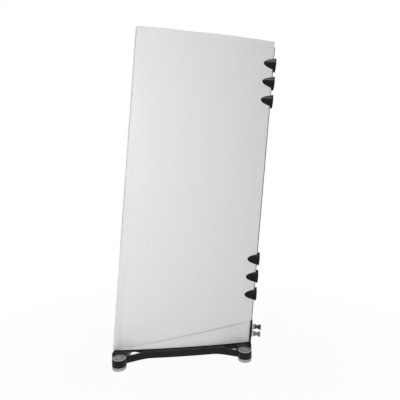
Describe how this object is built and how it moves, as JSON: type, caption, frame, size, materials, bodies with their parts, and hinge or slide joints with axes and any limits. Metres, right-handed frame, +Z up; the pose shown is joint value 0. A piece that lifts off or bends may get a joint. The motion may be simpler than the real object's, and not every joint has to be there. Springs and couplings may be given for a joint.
{
  "type": "floorstanding speaker",
  "caption": "Raked white floorstanding speaker with tapered sides, rear reflex ports and a black outrigger plinth on levelling feet",
  "frame": {"origin": "on the floor, under the middle of the whole object", "axes": "+Z up, the front baffle faces -Y, +X is to the right of a listener who faces the front"},
  "size_m": [0.425, 0.6711, 1.3193],
  "materials": {
    "white_lacquer": "white high-gloss lacquer over laminated board",
    "board": "bare birch ply and board",
    "black_satin": "satin black powder coat",
    "port_black": "satin black moulding",
    "cast_black": "black cast aluminium",
    "magnet_steel": "ferrite and plated steel",
    "cone_ceramic": "pale ceramic-coated cone",
    "surround_rubber": "soft black rubber",
    "spider_cloth": "impregnated cloth",
    "ribbon_foil": "thin pleated foil",
    "steel_fixings": "blackened steel",
    "foot_steel": "brushed steel",
    "pad_alloy": "bead-blasted alloy",
    "bright_plate": "bright plate",
    "post_metal": "gold-plated brass",
    "knob_dark": "dark anodised knob",
    "knob_pale": "grey anodised knob",
    "circuit_board": "circuit board",
    "copper_coil": "enamelled copper winding",
    "capacitor_sleeve": "sleeved film capacitor",
    "resistor_clay": "ceramic resistor body",
    "wire_sleeve": "wire insulation"
  },
  "bodies": {
    "speaker": {"cabinet_shell": "white_lacquer", "front_baffle": "white_lacquer", "top_panel": "white_lacquer", "bottom_panel": "board", "partition_panel": "board", "window_braces": "board", "rear_spine": "black_satin", "terminal_plate": "black_satin", "port_1": "port_black", "port_2": "port_black", "port_3": "port_black", "port_4": "port_black", "port_5": "port_black", "port_6": "port_black", "basket_1": "cast_black", "basket_2": "cast_black", "basket_3": "cast_black", "basket_4": "cast_black", "magnet_1": "magnet_steel", "magnet_2": "magnet_steel", "magnet_3": "magnet_steel", "magnet_4": "magnet_steel", "driver_screws": "steel_fixings", "tweeter_faceplate": "cast_black", "tweeter_housing": "magnet_steel", "tweeter_ribbon": "ribbon_foil", "crossover_board": "circuit_board", "inductors": "copper_coil", "capacitors": "capacitor_sleeve", "resistors": "resistor_clay", "internal_wiring": "wire_sleeve", "post_collars": "bright_plate", "post_stems": "post_metal", "plinth": "black_satin", "plinth_bolts": "steel_fixings"},
    "cone_1": {"cone_1": "cone_ceramic", "surround_1": "surround_rubber", "spider_1": "spider_cloth"},
    "cone_2": {"cone_2": "cone_ceramic", "surround_2": "surround_rubber", "spider_2": "spider_cloth"},
    "cone_3": {"cone_3": "cone_ceramic", "surround_3": "surround_rubber", "spider_3": "spider_cloth"},
    "cone_4": {"cone_4": "cone_ceramic", "surround_4": "surround_rubber", "spider_4": "spider_cloth"},
    "post_washer_1": {"post_washer_1": "bright_plate"},
    "post_knob_1": {"post_knob_1": "knob_dark"},
    "post_washer_2": {"post_washer_2": "bright_plate"},
    "post_knob_2": {"post_knob_2": "knob_pale"},
    "foot_screw_1": {"foot_screw_1": "foot_steel"},
    "foot_pad_1": {"foot_pad_1": "pad_alloy"},
    "foot_screw_2": {"foot_screw_2": "foot_steel"},
    "foot_pad_2": {"foot_pad_2": "pad_alloy"},
    "foot_screw_3": {"foot_screw_3": "foot_steel"},
    "foot_pad_3": {"foot_pad_3": "pad_alloy"},
    "foot_screw_4": {"foot_screw_4": "foot_steel"},
    "foot_pad_4": {"foot_pad_4": "pad_alloy"}
  },
  "joints": [
    {"name": "cone_travel_1", "type": "slide", "parent": "speaker", "child": "cone_1", "axis": [0, -0.9962, 0.0872], "range_m": [-0.004, 0.004], "stiffness_N_per_m": 1600, "deforming": ["surround_1", "spider_1"]},
    {"name": "cone_travel_2", "type": "slide", "parent": "speaker", "child": "cone_2", "axis": [0, -0.9962, 0.0872], "range_m": [-0.004, 0.004], "stiffness_N_per_m": 1600, "deforming": ["surround_2", "spider_2"]},
    {"name": "cone_travel_3", "type": "slide", "parent": "speaker", "child": "cone_3", "axis": [0, -0.9962, 0.0872], "range_m": [-0.004, 0.004], "stiffness_N_per_m": 1600, "deforming": ["surround_3", "spider_3"]},
    {"name": "cone_travel_4", "type": "slide", "parent": "speaker", "child": "cone_4", "axis": [0, -0.9962, 0.0872], "range_m": [-0.004, 0.004], "stiffness_N_per_m": 1600, "deforming": ["surround_4", "spider_4"]},
    {"name": "post_travel_1", "type": "slide", "parent": "speaker", "child": "post_washer_1", "axis": [0, 0.9962, -0.0872], "range_m": [0, 0.005]},
    {"name": "post_turn_1", "type": "hinge", "parent": "post_washer_1", "child": "post_knob_1", "pos_m": [0, 0.22675, 0.09986], "axis": [0, 0.9962, -0.0872], "range_deg": [-1440, 0]},
    {"name": "post_travel_2", "type": "slide", "parent": "speaker", "child": "post_washer_2", "axis": [0, 0.9962, -0.0872], "range_m": [0, 0.005]},
    {"name": "post_turn_2", "type": "hinge", "parent": "post_washer_2", "child": "post_knob_2", "pos_m": [0, 0.22413, 0.06998], "axis": [0, 0.9962, -0.0872], "range_deg": [-1440, 0]},
    {"name": "foot_turn_1", "type": "hinge", "parent": "speaker", "child": "foot_screw_1", "pos_m": [0.185, -0.28963, 0], "axis": [0, 0, 1], "range_deg": [0, 1440]},
    {"name": "foot_travel_1", "type": "slide", "parent": "speaker", "child": "foot_pad_1", "axis": [0, 0, -1], "range_m": [0, 0.006]},
    {"name": "foot_turn_2", "type": "hinge", "parent": "speaker", "child": "foot_screw_2", "pos_m": [-0.185, -0.28963, 0], "axis": [0, 0, 1], "range_deg": [0, 1440]},
    {"name": "foot_travel_2", "type": "slide", "parent": "speaker", "child": "foot_pad_2", "axis": [0, 0, -1], "range_m": [0, 0.006]},
    {"name": "foot_turn_3", "type": "hinge", "parent": "speaker", "child": "foot_screw_3", "pos_m": [0.095, 0.19137, 0], "axis": [0, 0, 1], "range_deg": [0, 1440]},
    {"name": "foot_travel_3", "type": "slide", "parent": "speaker", "child": "foot_pad_3", "axis": [0, 0, -1], "range_m": [0, 0.006]},
    {"name": "foot_turn_4", "type": "hinge", "parent": "speaker", "child": "foot_screw_4", "pos_m": [-0.095, 0.19137, 0], "axis": [0, 0, 1], "range_deg": [0, 1440]},
    {"name": "foot_travel_4", "type": "slide", "parent": "speaker", "child": "foot_pad_4", "axis": [0, 0, -1], "range_m": [0, 0.006]}
  ],
  "couplings": [
    {"joint": "post_turn_1", "follows": "post_travel_1", "rad_per_m": -5026.5},
    {"joint": "post_turn_2", "follows": "post_travel_2", "rad_per_m": -5026.5},
    {"joint": "foot_travel_1", "follows": "foot_turn_1", "m_per_rad": 0.00023873},
    {"joint": "foot_travel_2", "follows": "foot_turn_2", "m_per_rad": 0.00023873},
    {"joint": "foot_travel_3", "follows": "foot_turn_3", "m_per_rad": 0.00023873},
    {"joint": "foot_travel_4", "follows": "foot_turn_4", "m_per_rad": 0.00023873}
  ]
}
